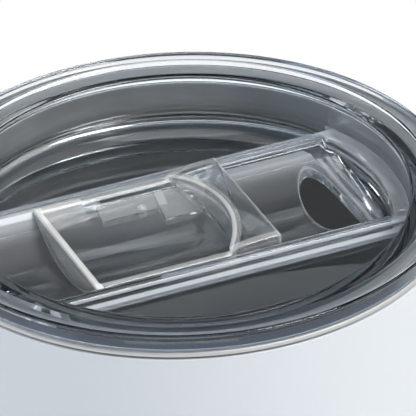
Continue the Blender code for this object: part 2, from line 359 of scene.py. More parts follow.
class Bench:
    """Modelling steps that every piece shares."""

    ARC_STEPS = 6
    TURNS = 160
    SEED_PLANE = 1.0 * MM
    MERGE = 0.002 * MM
    SLIVER = 0.08 * MM
    FLAT_ANGLE = math.radians(1)
    SHARP_ANGLE = math.radians(60)
    SMOOTH_ANGLE = math.radians(28)
    SOFT_SEGMENTS = 3

    @staticmethod
    def clear_selection() -> None:
        """Leave edit mode and deselect everything."""
        if bpy.context.object and bpy.context.object.mode != "OBJECT":
            bpy.ops.object.mode_set(mode="OBJECT")
        bpy.ops.object.select_all(action="DESELECT")

    @classmethod
    def pick(cls, piece: Piece) -> None:
        """Select one piece alone and make it the active one."""
        cls.clear_selection()
        bpy.context.view_layer.objects.active = piece
        piece.select_set(True)

    @classmethod
    def rounded(cls, corners: Sequence[Corner]) -> list[Pair]:
        """Round the corners of an open outline.

        Args:
            corners: (across, height, radius) of each corner.

        Returns:
            The outline's points, with an arc at each rounded corner.
        """
        points: list[Pair] = []
        for index, (across, height, radius) in enumerate(corners):
            here = Vector((across, height))
            if radius <= 0 or index in (0, len(corners) - 1):
                points.append((across, height))
                continue
            before = (Vector(corners[index - 1][:2]) - here).normalized()
            after = (Vector(corners[index + 1][:2]) - here).normalized()
            half = before.angle(after) / 2
            centre = here + (before + after).normalized() * (radius / math.sin(half))
            reach = radius / math.tan(half)
            first, last = here + before * reach - centre, here + after * reach - centre
            sweep = first.angle_signed(last)
            for step in range(cls.ARC_STEPS + 1):
                turned = Matrix.Rotation(-sweep * step / cls.ARC_STEPS, 2) @ first
                points.append(tuple(centre + turned))
        return points

    @classmethod
    def draw(cls, name: str, points: Sequence[Vector]) -> Piece:
        """Draw a chain of edges by extruding one vertex, and stay in edit mode.

        Args:
            name: the new object's name.
            points: the chain's points.

        Returns:
            The new object.
        """
        cls.clear_selection()
        bpy.ops.mesh.primitive_plane_add(size=cls.SEED_PLANE, location=points[0])
        piece = bpy.context.active_object
        piece.name = name
        bpy.ops.object.transform_apply(location=True, rotation=True, scale=True)
        bpy.ops.object.mode_set(mode="EDIT")
        bpy.ops.mesh.select_all(action="SELECT")
        bpy.ops.mesh.merge(type="CENTER")
        for here, after in zip(points, points[1:]):
            bpy.ops.mesh.extrude_vertices_move(
                TRANSFORM_OT_translate={"value": Vector(after) - Vector(here)})
        return piece

    @classmethod
    def close(cls, piece: Piece) -> Piece:
        """Merge doubles, turn the faces outwards and leave edit mode."""
        bpy.ops.mesh.select_all(action="SELECT")
        bpy.ops.mesh.remove_doubles(threshold=cls.MERGE)
        bpy.ops.mesh.normals_make_consistent(inside=False)
        cls.clear_selection()
        return piece

    @classmethod
    def turn(cls, name: str, corners: Sequence[Corner], looped: bool = False) -> Piece:
        """Turn a profile about Z.

        Args:
            name: the new object's name.
            corners: (radius, height, corner radius) of the profile.
            looped: whether the profile closes on itself away from the axis.

        Returns:
            The new object.
        """
        chain = [Vector((across, 0.0, height)) for across, height in cls.rounded(corners)]
        if looped:
            chain.append(chain[0])
        piece = cls.draw(name, chain)
        bpy.ops.mesh.select_all(action="SELECT")
        bpy.ops.mesh.spin(steps=cls.TURNS, angle=math.tau, center=(0, 0, 0), axis=(0, 0, 1))
        return cls.close(piece)

    @classmethod
    def extrude(cls, name: str, outline: Sequence[Vector], offset: Vector) -> Piece:
        """Fill a flat outline and extrude it, and stay in edit mode with its far end selected.

        Args:
            name: the new object's name.
            outline: the outline's points, each once.
            offset: how far the far end lies from the outline.

        Returns:
            The new object.
        """
        piece = cls.draw(name, outline)
        bpy.ops.mesh.select_all(action="SELECT")
        bpy.ops.mesh.edge_face_add()
        bpy.ops.mesh.extrude_region_move(TRANSFORM_OT_translate={"value": offset})
        return piece

    @classmethod
    def slab(cls, name: str, outline: Sequence[Vector], offset: Vector) -> Piece:
        """Closed block from a flat outline and the offset of its far end."""
        return cls.close(cls.extrude(name, outline, offset))

    @classmethod
    def disc(cls, name: str, middle: Vector, half: Pair, tall: float) -> Piece:
        """Upright round or oval block, from the middle of its foot."""
        outline = []
        for step in range(cls.TURNS):
            turn = math.tau * step / cls.TURNS
            outline.append(middle + Vector((half[0] * math.cos(turn), half[1] * math.sin(turn), 0)))
        return cls.slab(name, outline, Vector((0, 0, tall)))

    @classmethod
    def apply(cls, piece: Piece, tool: Piece, how: Join) -> None:
        """Join a tool to a piece, and remove the tool.

        Args:
            piece: the piece that changes.
            tool: the shape that acts on it.
            how: union, cut or common part.
        """
        cls.pick(piece)
        modifier = piece.modifiers.new("join", "BOOLEAN")
        modifier.operation = how.value
        modifier.solver = "EXACT"
        modifier.object = tool
        bpy.ops.object.modifier_apply(modifier=modifier.name)
        bpy.data.objects.remove(tool, do_unlink=True)

    @classmethod
    def soften(cls, piece: Piece, width: float) -> None:
        """Merge slivers, then round every sharp edge to a width."""
        cls.pick(piece)
        bpy.ops.object.mode_set(mode="EDIT")
        bpy.ops.mesh.select_all(action="SELECT")
        bpy.ops.mesh.remove_doubles(threshold=cls.SLIVER)
        bpy.ops.mesh.dissolve_limited(angle_limit=cls.FLAT_ANGLE)
        cls.clear_selection()
        modifier = piece.modifiers.new("soften", "BEVEL")
        modifier.width = width
        modifier.segments = cls.SOFT_SEGMENTS
        modifier.limit_method = "ANGLE"
        modifier.angle_limit = cls.SHARP_ANGLE
        modifier.use_clamp_overlap = False
        bpy.ops.object.modifier_apply(modifier=modifier.name)

    @classmethod
    def dress(cls, piece: Piece, finish: Finish, body: str, *nodes: str) -> Piece:
        """Smooth a finished piece, give it its finish, and put it on its body in place of its nodes.

        Args:
            piece: the finished piece.
            finish: its finish.
            body: the body that it rides on.
            *nodes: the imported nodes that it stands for.

        Returns:
            The piece.
        """
        cls.pick(piece)
        bpy.ops.object.shade_smooth_by_angle(angle=cls.SMOOTH_ANGLE)
        piece.data.materials.clear()
        piece.data.materials.append(finish.build())
        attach(piece, body)
        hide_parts(*nodes)
        return piece


@dataclass
class TumblerBody:
    """Double-walled steel body with its base."""

    wall: float = 0.5 * MM
    gap: float = 0.3 * MM
    edge: float = 0.1 * MM
    base_corner: float = 2.0 * MM
    base_curl: float = 4.0 * MM
    lip_round: float = 0.32 * MM
    lip_under_round: float = 0.256 * MM
    liner_corner: float = 6.0 * MM
    cover_edge: float = 0.12 * MM
    bead_place: float = 0.62
    bead_half: float = 1.2 * MM
    bead_rise: float = 0.1 * MM
    bead_round: float = 0.2 * MM

    def build_wall(self) -> Piece:
        """White outer wall with its rounded foot."""
        low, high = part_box("outer_shell")
        radius, foot, top = high.x, low.z, high.z
        inner, curl = radius - self.wall, radius - self.base_curl
        piece = Bench.turn("coated_wall", [
            (inner, top, 0), (radius, top, self.edge), (radius, foot, self.base_corner),
            (curl, foot, self.edge), (curl, foot + self.wall, self.edge),
            (inner, foot + self.wall, self.base_corner - self.wall)], looped=True)
        return Bench.dress(piece, WHITE_COAT, "tumbler", "outer_shell")

    def build_liner(self) -> Piece:
        """Steel cup round the lid's sealing ring, with its bare rolled lip over the outer wall."""
        low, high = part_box("inner_liner")
        radius, floor, top = high.x, low.z, high.z
        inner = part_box("lid_gasket")[1].x + self.gap
        outer = inner + self.wall
        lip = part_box("outer_shell")[1].z + self.gap
        piece = Bench.turn("steel_liner", [
            (0, floor, 0), (outer, floor, self.liner_corner), (outer, lip, self.edge),
            (radius, lip, self.lip_under_round), (radius, top, self.lip_round),
            (inner, top, self.lip_round),
            (inner, floor + self.wall, self.liner_corner - self.wall), (0, floor + self.wall, 0)])
        return Bench.dress(piece, TURNED_STEEL, "tumbler", "inner_liner")

    def build_cover(self) -> Piece:
        """Plate under the base, with one shallow pressed ring at a share of its radius."""
        low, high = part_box("base_cover")
        radius, foot, top = high.x, low.z, high.z
        bead, half, curve = radius * self.bead_place, self.bead_half, self.bead_round
        piece = Bench.turn("base_plate", [
            (0, foot, 0), (bead - half, foot, curve), (bead, foot + self.bead_rise, curve),
            (bead + half, foot, curve), (radius, foot, self.cover_edge),
            (radius, top, self.cover_edge), (0, top, 0)])
        return Bench.dress(piece, STAMPED_STEEL, "tumbler", "base_cover")

    def dress_inside(self) -> list[Piece]:
        """Finishes of the solids inside the walls and the base.

        Returns:
            The solids.
        """
        finishes = {"shell_bottom": STAMPED_STEEL, "seal_bead": GLASS_SOLDER,
                    "getter_holder": STAMPED_STEEL, "getter_pellet": GETTER_POWDER}
        for name, finish in finishes.items():
            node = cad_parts[name]
            node.data.materials.clear()
            node.data.materials.append(finish.build())
        return [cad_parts[name] for name in finishes]

    def build(self) -> list[Piece]:
        """Build and dress the whole body.

        Returns:
            Its pieces.
        """
        return [self.build_wall(), self.build_liner(), self.build_cover(), *self.dress_inside()]


@dataclass
class Trough:
    """Round-bottomed section that the channel and the slider share, with heights from the rails."""

    half: float
    spring: float
    bottom: float
    steps: int = 24

    def arc(self) -> list[Pair]:
        """Points of the round bottom from +Y to -Y.

        Returns:
            (y, z) points.
        """
        radius = self.radius()
        reach = math.asin(self.half / radius)
        turns = [reach * (1 - 2 * step / self.steps) for step in range(self.steps + 1)]
        return [(radius * math.sin(turn), self.bottom + radius * (1 - math.cos(turn)))
                for turn in turns]

    def radius(self) -> float:
        """Radius of the round bottom."""
        sag = self.spring - self.bottom
        return (self.half ** 2 + sag ** 2) / (2 * sag)

    def height(self, y: float) -> float:
        """Height of the round bottom at y."""
        return self.bottom + self.radius() - math.sqrt(self.radius() ** 2 - y ** 2)

    def normal(self, y: float) -> Vector:
        """Direction from the round bottom into the trough at y."""
        return Vector((0, -y, math.sqrt(self.radius() ** 2 - y ** 2))) / self.radius()

    def grown(self, by: float) -> "Trough":
        """The section moved outwards all round."""
        return Trough(self.half + by, self.spring, self.bottom - by, self.steps)

    def outline(self, x: float, rail: float, top: float) -> list[Vector]:
        """Closed section at x, up to a top above the rails.

        Args:
            x: place along the channel.
            rail: height of the rails.
            top: height of the section's top above the rails.

        Returns:
            The outline's points.
        """
        sides = [(self.half, top), *self.arc(), (-self.half, top)]
        return [Vector((x, y, rail + z)) for y, z in sides]


@dataclass
class ClosureSizes:
    """Sizes that the channel and the slider take from one another."""

    side: float = 0.5 * MM
    depth: float = 4.6 * MM
    width: float = 22.4 * MM
    fit: float = 0.3 * MM
    deck_rise: float = 1.2 * MM
    rib_start: float = 9.4 * MM
    rib_length: float = 16.0 * MM
    rib_proud: float = 0.5 * MM
    rib_height: float = 0.5 * MM
    rib_drop: float = 1.0 * MM

    def section(self) -> Trough:
        """Outer section of the slider."""
        return Trough(self.width / 2, -self.side, -self.depth)

    def rail(self) -> float:
        """Height of the rails in the frame."""
        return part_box("slider")[1].z - self.deck_rise


@dataclass(frozen=True)
class LidPaintedLight:
    """Colour of the lid's painted highlights, the share of painted white in each, and their sizes."""

    colour: Colour = (0.84, 0.885, 0.94)
    overall: float = 0.02
    rail_face: float = 0.75
    rail_skin: float = 0.1 * MM
    rail_spill: float = 1.0 * MM
    end_arc: float = 0.5
    arc_backs: tuple[float, ...] = (1.4 * MM, 2.6 * MM)
    arc_width: float = 0.5 * MM
    arc_inset: float = 2.0 * MM
    arc_blur: float = 0.4 * MM
    end_stripe: float = 0.6
    stripe_drops: tuple[float, ...] = (0.4 * MM, 1.5 * MM)
    stripe_height: float = 0.4 * MM
    stripe_blur: float = 0.2 * MM
    rear_wall: float = 0.58
    rear_width: float = 3.6 * MM
    rear_drop: float = 1.9 * MM
    hole_edge: float = 0.35
    hole_band: Band = (0.99, 1.03)
    hole_soft: float = 0.03
    hole_crisp: float = 0.05


@dataclass
class Lid:
    """Clear press-in lid with its channel, drink hole and sealing ring."""

    closure: ClosureSizes
    # Shares and sizes of the painted highlights on the clear lid
    painted_light: LidPaintedLight = LidPaintedLight()
    flange: float = 2.3 * MM
    land: float = 3.0 * MM
    step: float = 0.6 * MM
    plug: float = 33.0 * MM
    plug_wall: float = 2.2 * MM
    well: float = 6.1 * MM
    well_round: float = 0.8 * MM
    floor: float = 1.6 * MM
    edge_round: float = 0.45 * MM
    tight_round: float = 0.2 * MM
    groove_top: float = 8.4 * MM
    groove_height: float = 2.6 * MM
    groove_depth: float = 1.2 * MM
    rail_width: float = 1.4 * MM
    channel_floor: float = 1.4 * MM
    channel_round: float = 0.3 * MM
    end_wall: float = 2.3 * MM
    end_round: float = 2.8 * MM
    hole_x: float = 22.1 * MM
    hole_half: Pair = (3.2 * MM, 8.5 * MM)
    ring_dip: float = 0.3 * MM
    ring_lip_round: float = 0.25 * MM
    ring_dip_round: float = 0.2 * MM
    ring_foot_round: float = 0.1 * MM
    overcut: float = 2.0 * MM

    def rim(self) -> Piece:
        """Flange, well, floor and plug as one turned shape."""
        low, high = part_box("lid_body")
        radius, top, foot = high.x, high.z, low.z
        well, step = self.plug - self.plug_wall, radius - self.land
        floor_top, step_top = top - self.well, top - self.step
        groove, groove_high = self.plug - self.groove_depth, top - self.groove_top
        groove_low = groove_high - self.groove_height
        tight, edge = self.tight_round, self.edge_round
        return Bench.turn("clear_lid", [
            (0, floor_top, 0), (well, floor_top, self.well_round), (well, step_top, edge),
            (step, step_top, tight), (step, top, edge), (radius, top, edge),
            (radius, top - self.flange, edge), (self.plug, top - self.flange, tight),
            (self.plug, groove_high, tight), (groove, groove_high, tight),
            (groove, groove_low, tight), (self.plug, groove_low, tight), (self.plug, foot, edge),
            (well, foot, edge), (well, floor_top - self.floor, edge),
            (0, floor_top - self.floor, 0)])

    def channel(self) -> Piece:
        """Outside of the channel, run out into the plug's wall."""
        low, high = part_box("lid_body")
        rail = self.closure.rail()
        block = self.closure.section().grown(self.closure.fit + self.rail_width)
        block.bottom = self.closure.section().bottom - self.closure.fit - self.channel_floor
        piece = Bench.slab("channel", block.outline(low.x, rail, 0.0), Vector((high.x - low.x, 0, 0)))
        Bench.soften(piece, self.channel_round)
        seat = self.plug - self.plug_wall / 2 - self.groove_depth / 2
        foot = Vector((0, 0, low.z - self.overcut))
        tall = high.z - low.z + 2 * self.overcut
        Bench.apply(piece, Bench.disc("seat", foot, (seat, seat), tall), Join.KEEP_COMMON)
        return piece

    def cavity(self) -> Piece:
        """Room that the slider runs in, with both ends rounded up."""
        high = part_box("lid_body")[1]
        rail, end, flat = self.closure.rail(), self.end(), self.end_flat()
        section = self.closure.section().grown(self.closure.fit)
        piece = Bench.slab("cavity", section.outline(-end, rail, high.z - rail + self.overcut),
                           Vector((2 * end, 0, 0)))
        bottom, over = rail + section.bottom, high.z + 2 * self.overcut
        bowl = Bench.turn("bowl", [
            (0, bottom - self.overcut, 0), (flat, bottom - self.overcut, 0), (flat, bottom, 0),
            (end, bottom, self.end_round), (end, over, 0), (0, over, 0)])
        Bench.apply(piece, bowl, Join.KEEP_COMMON)
        return piece

    def end(self) -> float:
        """Radius of the channel's round ends."""
        return self.plug - self.plug_wall - self.end_wall

    def end_flat(self) -> float:
        """Radius at which the channel's floor starts to turn up into its round ends."""
        return self.end() - self.end_round - self.closure.fit

    def grooves(self) -> Piece:
        """Slots in both channel walls that the slider's ribs run in, out to the channel's round end."""
        closure = self.closure
        half = closure.width / 2 + closure.fit + closure.rib_proud
        tall = closure.rib_height + 2 * closure.fit
        middle = closure.rail() - closure.rib_drop
        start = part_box("slider")[0].x + closure.rib_start - closure.fit
        length = math.sqrt(self.end() ** 2 - half ** 2) - start
        corners = [(-half, -tall / 2), (half, -tall / 2), (half, tall / 2), (-half, tall / 2)]
        piece = Bench.slab("grooves", [Vector((start, y, middle + z)) for y, z in corners],
                           Vector((length, 0, 0)))
        Bench.soften(piece, closure.fit)
        return piece

    def painted_light_zones(self) -> tuple[Zone, ...]:
        """Where the lid gets painted highlights that stand in for light it catches: on the channel's
        walls and ends and round the drink hole.

        Returns:
            The zones, with a faint painted lift of light over all of the channel.
        """
        painted_light, rail, end = self.painted_light, self.closure.rail(), self.end()
        well = self.plug - self.plug_wall
        inner = self.closure.width / 2 + self.closure.fit
        outer = inner + self.rail_width
        under = rail - 2 * self.well
        # Painted highlight along the outer faces of the rails
        rails = Zone(painted_light.rail_face, {
            Measure.ACROSS: (outer - painted_light.rail_skin, outer + painted_light.rail_spill),
            Measure.REACH: (None, well), Measure.HEIGHT: (under, rail)})
        # Painted highlights: arcs near the channel's round ends, standing in for light caught by the
        # curved end
        arcs = [Zone(painted_light.end_arc, {
            Measure.ACROSS: (None, inner - painted_light.arc_inset),
            Measure.REACH: (end - back, end - back + painted_light.arc_width),
            Measure.HEIGHT: (under, rail)}, soft=painted_light.arc_blur, crisp=painted_light.arc_blur)
            for back in painted_light.arc_backs]
        # Painted highlights: two thin stripes round the channel's round ends
        stripes = [Zone(painted_light.end_stripe, {
            Measure.ACROSS: (None, outer), Measure.REACH: (end - painted_light.stripe_blur, well),
            Measure.HEIGHT: (rail - drop, rail - drop + painted_light.stripe_height)}, soft=painted_light.stripe_blur)
            for drop in painted_light.stripe_drops]
        # Painted highlight high on the channel's rear wall, standing in for a lamp's reflection
        rear_wall = Zone(painted_light.rear_wall, {
            Measure.REARWARD: (inner - painted_light.rear_width, inner),
            Measure.REACH: (None, end - self.end_round),
            Measure.HEIGHT: (rail - painted_light.rear_drop, rail)}, soft=painted_light.rear_drop)
        # Painted highlight round the drink hole's edge
        hole_edge = Zone(painted_light.hole_edge, {Measure.OVAL: painted_light.hole_band}, axis=(self.hole_x, 0.0, 0.0),
                         oval=self.hole_half, soft=painted_light.hole_soft, crisp=painted_light.hole_crisp)
        # Faint painted light over the whole channel, lifting its dark parts
        overall = Zone(painted_light.overall, {
            Measure.ACROSS: (None, outer), Measure.REACH: (None, well),
            Measure.HEIGHT: (under, rail + self.closure.fit)})
        return (rails, *arcs, *stripes, rear_wall, hole_edge, overall)

    def build_clear_lid(self) -> Piece:
        """Lid with its channel, the slider's room, the rib grooves and the drink hole."""
        piece = self.rim()
        Bench.apply(piece, self.channel(), Join.UNION)
        Bench.apply(piece, self.cavity(), Join.CUT)
        Bench.apply(piece, self.grooves(), Join.CUT)
        low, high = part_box("lid_body")
        foot = Vector((self.hole_x, 0, low.z - self.overcut))
        Bench.apply(piece, Bench.disc("hole", foot, self.hole_half, high.z - low.z), Join.CUT)
        # The lid's clear finish, with its painted highlights mixed in
        finish = replace(CLEAR_PLASTIC, painted_light=self.painted_light.colour, zones=self.painted_light_zones())
        return Bench.dress(piece, finish, "lid", "lid_body")

    def build_ring(self) -> Piece:
        """Sealing ring with two soft lips."""
        low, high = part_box("lid_gasket")
        outer, inner = high.x, self.plug - self.groove_depth + self.closure.fit
        middle, lip = (low.z + high.z) / 2, self.ring_lip_round
        piece = Bench.turn("sealing_ring", [
            (inner, high.z, 0), (outer, high.z, lip),
            (outer - self.ring_dip, middle, self.ring_dip_round),
            (outer, low.z, lip), (inner, low.z, self.ring_foot_round)], looped=True)
        return Bench.dress(piece, CLEAR_SILICONE, "lid", "lid_gasket")

    def build(self) -> list[Piece]:
        """Build and dress the lid and its sealing ring.

        Returns:
            The two pieces.
        """
        return [self.build_clear_lid(), self.build_ring()]


@dataclass(frozen=True)
class Pad:
    """Raised rectangle on the slider's rear inner wall, from its low X and its two Y edges."""

    start: float
    length: float
    near: float
    far: float
    proud: float


@dataclass(frozen=True)
class SliderPaintedLight:
    """Share of painted white in each of the slider's painted highlights, and their sizes."""

    overall: float = 0.02
    end_rim: float = 0.40
    end_rim_width: float = 0.4 * MM
    pad: float = 0.15
    wall_top: float = 0.25
    wall_top_drop: float = 0.2 * MM
    end_top: float = 0.50
    end_top_drop: float = 0.4 * MM
    end_plate: float = 0.24
    far_end: float = 0.30
    far_end_length: float = 0.35 * MM
    far_end_drop: float = 0.3 * MM
    crescent: float = 0.16
    crescent_blur: float = 0.3 * MM
    crescent_top: float = 0.30
    crescent_top_drop: float = 0.6 * MM
    crescent_top_blur: float = 0.5 * MM
    rear_wall: float = 0.35
    rear_width: float = 4.0 * MM
    rear_drop: float = 1.2 * MM
    nub: float = 0.22


@dataclass
class Slider:
    """Clear sliding closure with its thumb recess, crescent wall and deck."""

    closure: ClosureSizes
    # Shares and sizes of the painted highlights on the clear closure
    painted_light: SliderPaintedLight = SliderPaintedLight()
    wall: float = 1.2 * MM
    end_wall: float = 1.0 * MM
    crescent_reach: float = 23.2 * MM
    crescent: float = 16.4 * MM
    deck_start: float = 19.6 * MM
    deck_crest: float = 25.4 * MM
    deck_thickness: float = 1.2 * MM
    deck_steps: int = 24
    rim_steps: int = 36
    rib_root: float = 1.8 * MM
    rib_round: float = 0.1 * MM
    pads: tuple[Pad, ...] = (
        Pad(start=8.4 * MM, length=9.7 * MM, near=6.9 * MM, far=9.2 * MM, proud=0.25 * MM),
        Pad(start=16.8 * MM, length=6.2 * MM, near=4.7 * MM, far=9.2 * MM, proud=0.45 * MM),
    )
    nub: Pair = (14.4 * MM, 7.3 * MM)
    nub_radius: float = 0.65 * MM
    nub_sides: int = 24
    nub_rings: int = 12
    edge: float = 0.28 * MM
    overcut: float = 2.0 * MM

    def centre(self) -> float:
        """Place of the crescent's axis along X."""
        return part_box("slider")[0].x + self.crescent_reach - self.crescent

    def inside(self) -> Trough:
        """Inner section of the boat."""
        section = self.closure.section()
        return Trough(section.half - self.wall, section.spring, section.bottom + self.wall)

    def hull(self) -> Piece:
        """Outside of the boat, with its raised deck."""
        low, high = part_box("slider")
        rail, rise = self.closure.rail(), self.closure.deck_rise
        section = self.closure.section()
        piece = Bench.slab("slide_closure", section.outline(low.x, rail, rise),
                           Vector((high.x - low.x, 0, 0)))
        start, crest = low.x + self.deck_start, low.x + self.deck_crest
        line = [(low.x - self.overcut, 0.0)]
        for step in range(self.deck_steps + 1):
            turn = math.pi / 2 * step / self.deck_steps
            line.append((crest - (crest - start) * math.cos(turn), rise * math.sin(turn)))
        line += [(crest, rise + self.overcut), (low.x - self.overcut, rise + self.overcut)]
        width = self.closure.width
        trim = Bench.slab("trim", [Vector((x, -width, rail + z)) for x, z in line],
                          Vector((0, 2 * width, 0)))
        Bench.apply(piece, trim, Join.CUT)
        Bench.soften(piece, self.edge)
        return piece

    def rim_cut(self) -> Piece:
        """Flared tool that slopes the recess's upper edge.

        Returns:
            The tool.
        """
        left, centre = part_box("slider")[0].x + self.end_wall, self.centre()
        half, low = self.inside().half, self.closure.rail() - self.edge
        reach = math.asin(half / self.crescent)
        plan = [(left, -half), (left, half)]
        for step in range(self.rim_steps + 1):
            turn = reach * (1 - 2 * step / self.rim_steps)
            plan.append((centre + self.crescent * math.cos(turn), self.crescent * math.sin(turn)))
        middle = (left + centre + self.crescent) / 2
        piece = Bench.extrude("rim_cut", [Vector((x, y, low)) for x, y in plan],
                              Vector((0, 0, 2 * self.edge)))
        longer = 1 + 2 * self.edge / (centre + self.crescent - middle)
        wider = 1 + 2 * self.edge / half
        bpy.ops.transform.resize(value=(longer, wider, 1), center_override=(middle, 0, low))
        return Bench.close(piece)

    def hollow(self, name: str, start: float, length: float, top: float) -> Piece:
        """Inside section of the boat, as a cutting tool.

        Args:
            name: the tool's name.
            start: its low end along X.
            length: its length along X.
            top: its top above the rails.

        Returns:
            The tool.
        """
        outline = self.inside().outline(start, self.closure.rail(), top)
        return Bench.slab(name, outline, Vector((length, 0, 0)))

    def carve(self, piece: Piece) -> None:
        """Cut the thumb recess, its sloped edge and the pocket behind the crescent wall."""
        low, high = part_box("slider")
        centre = self.centre()
        foot = Vector((centre, 0, low.z - self.overcut))
        tall = high.z - low.z + 4 * self.overcut
        recess = self.hollow("recess", low.x + self.end_wall, high.x - low.x, 2 * self.overcut)
        face = Bench.disc("face", foot, (self.crescent, self.crescent), tall)
        Bench.apply(recess, face, Join.KEEP_COMMON)
        Bench.apply(piece, recess, Join.CUT)
        Bench.apply(piece, self.rim_cut(), Join.CUT)
        pocket = self.hollow("pocket", centre, high.x - centre + self.overcut,
                             self.closure.deck_rise - self.deck_thickness)
        back = self.crescent + self.wall
        Bench.apply(pocket, Bench.disc("back", foot, (back, back), tall), Join.CUT)
        Bench.apply(piece, pocket, Join.CUT)

    def add_ribs(self, piece: Piece) -> None:
        """Join the two side ribs to the boat."""
        closure = self.closure
        half, start = closure.width / 2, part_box("slider")[0].x + closure.rib_start
        low = closure.rail() - closure.rib_drop - closure.rib_height / 2
        high = low + closure.rib_height
        for side in (1, -1):
            near, far = side * (half - self.rib_root), side * (half + closure.rib_proud)
            corners = [(near, low), (far, low), (far, high), (near, high)]
            rib = Bench.slab("rib", [Vector((start, y, z)) for y, z in corners],
                             Vector((closure.rib_length, 0, 0)))
            Bench.soften(rib, self.rib_round)
            Bench.apply(piece, rib, Join.UNION)

    def add_pads(self, piece: Piece) -> None:
        """Join the raised pads to the rear inner wall."""
        left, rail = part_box("slider")[0].x, self.closure.rail()
        for pad in self.pads:
            high, low = [], []
            for step in range(Bench.ARC_STEPS + 1):
                y = pad.near + (pad.far - pad.near) * step / Bench.ARC_STEPS
                floor = Vector((0, y, self.inside().height(y)))
                away = self.inside().normal(y)
                high.append(floor + away * pad.proud)
                low.append(floor - away * self.wall / 2)
            outline = [point + Vector((left + pad.start, 0, rail)) for point in high + low[::-1]]
            slab = Bench.slab("pad", outline, Vector((pad.length, 0, 0)))
            Bench.apply(piece, slab, Join.UNION)

    def add_nub(self, piece: Piece) -> None:
        """Join the moulding nub to the rear inner wall."""
        x, y = self.nub
        Bench.clear_selection()
        bpy.ops.mesh.primitive_uv_sphere_add(
            segments=self.nub_sides, ring_count=self.nub_rings, radius=self.nub_radius,
            location=(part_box("slider")[0].x + x, y, self.closure.rail() + self.inside().height(y)))
        nub = bpy.context.active_object
        bpy.ops.object.transform_apply(location=True, rotation=True, scale=True)
        Bench.apply(piece, nub, Join.UNION)

    def painted_light_zones(self) -> tuple[Zone, ...]:
        """Where the closure gets painted highlights that stand in for light it catches: on its wall
        tops, ends, crescent, rear wall, pads and nub.

        Returns:
            The zones, with a faint painted lift of light over the whole closure.
        """
        low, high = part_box("slider")
        painted_light, rail, half = self.painted_light, self.closure.rail(), self.closure.width / 2
        section, centre = self.closure.section(), self.centre()
        axis, plate = (centre, 0.0, 0.0), (None, low.x + self.end_wall)
        # Painted highlight round the rim of the closure's round end
        end_rim = Zone(painted_light.end_rim, {
            Measure.ALONG: (None, low.x + self.edge),
            Measure.BORE: (section.radius() - painted_light.end_rim_width, None)},
            axis=(0.0, 0.0, rail + section.bottom + section.radius()))
        # Painted highlights on the raised pads
        pads = [Zone(painted_light.pad, {
            Measure.ALONG: (low.x + pad.start, low.x + pad.start + pad.length),
            Measure.REARWARD: (pad.near, pad.far)}) for pad in self.pads]
        # Painted highlights along the wall tops
        wall_tops = Zone(painted_light.wall_top, {
            Measure.ACROSS: (half - self.wall, half),
            Measure.HEIGHT: (rail - painted_light.wall_top_drop, None)})
        # Painted highlight along the top of the end plate
        end_top = Zone(painted_light.end_top, {
            Measure.ALONG: plate, Measure.HEIGHT: (rail - painted_light.end_top_drop, None)})
        # Painted light over the end plate, which sits in shade inside the channel
        end_plate = Zone(painted_light.end_plate, {Measure.ALONG: plate})
        # Painted highlight along the top of the far end
        far_end = Zone(painted_light.far_end, {
            Measure.ALONG: (high.x - painted_light.far_end_length, None),
            Measure.HEIGHT: (rail - painted_light.far_end_drop, None)})
        # Painted highlight on the crescent wall
        crescent = Zone(painted_light.crescent, {
            Measure.REACH: (self.crescent, self.crescent + self.wall),
            Measure.ALONG: (centre, None)}, axis=axis, soft=painted_light.crescent_blur)
        # Painted highlight along the crescent wall's top edge
        crescent_top = Zone(painted_light.crescent_top, {
            Measure.REACH: (self.crescent, self.crescent + self.wall / 2),
            Measure.ALONG: (centre, None),
            Measure.HEIGHT: (rail - painted_light.crescent_top_drop, None)},
            axis=axis, soft=painted_light.crescent_top_blur)
        # Painted highlight high on the rear inner wall
        rear_wall = Zone(painted_light.rear_wall, {
            Measure.REARWARD: (half - painted_light.rear_width, None), Measure.ALONG: (low.x, centre),
            Measure.HEIGHT: (rail - painted_light.rear_drop, None)}, soft=painted_light.rear_drop)
        # Painted glint on the moulding nub
        nub = Zone(painted_light.nub, {Measure.REACH: (None, self.nub_radius)},
                   axis=(low.x + self.nub[0], self.nub[1], 0.0))
        # Faint painted light over the whole closure, lifting its dark parts
        overall = Zone(painted_light.overall, {})
        return (end_rim, *pads, wall_tops, end_top, end_plate, far_end, crescent, crescent_top,
                rear_wall, nub, overall)

    def build(self) -> list[Piece]:
        """Build and dress the closure.

        Returns:
            Its one piece.
        """
        piece = self.hull()
        self.carve(piece)
        self.add_ribs(piece)
        self.add_pads(piece)
        self.add_nub(piece)
        # The closure's clear finish, with its painted highlights mixed in
        finish = replace(CLEAR_PLASTIC, zones=self.painted_light_zones())
        return [Bench.dress(piece, finish, "slider", "slider")]


@dataclass(frozen=True)
class Softbox:
    """One rectangular studio lamp that faces the lid."""

    name: str
    place: Triple
    size: Pair
    watts: float
    colour: Colour = WHITE

    def light(self, target: Vector) -> None:
        """Add the lamp and turn it to the target."""
        data = bpy.data.lights.new(self.name, "AREA")
        data.shape = "RECTANGLE"
        data.size, data.size_y = self.size
        data.energy = self.watts
        data.color = self.colour
        lamp = bpy.data.objects.new(self.name, data)
        bpy.context.scene.collection.objects.link(lamp)
        lamp.location = self.place
        lamp.rotation_euler = (target - lamp.location).to_track_quat("-Z", "Y").to_euler()


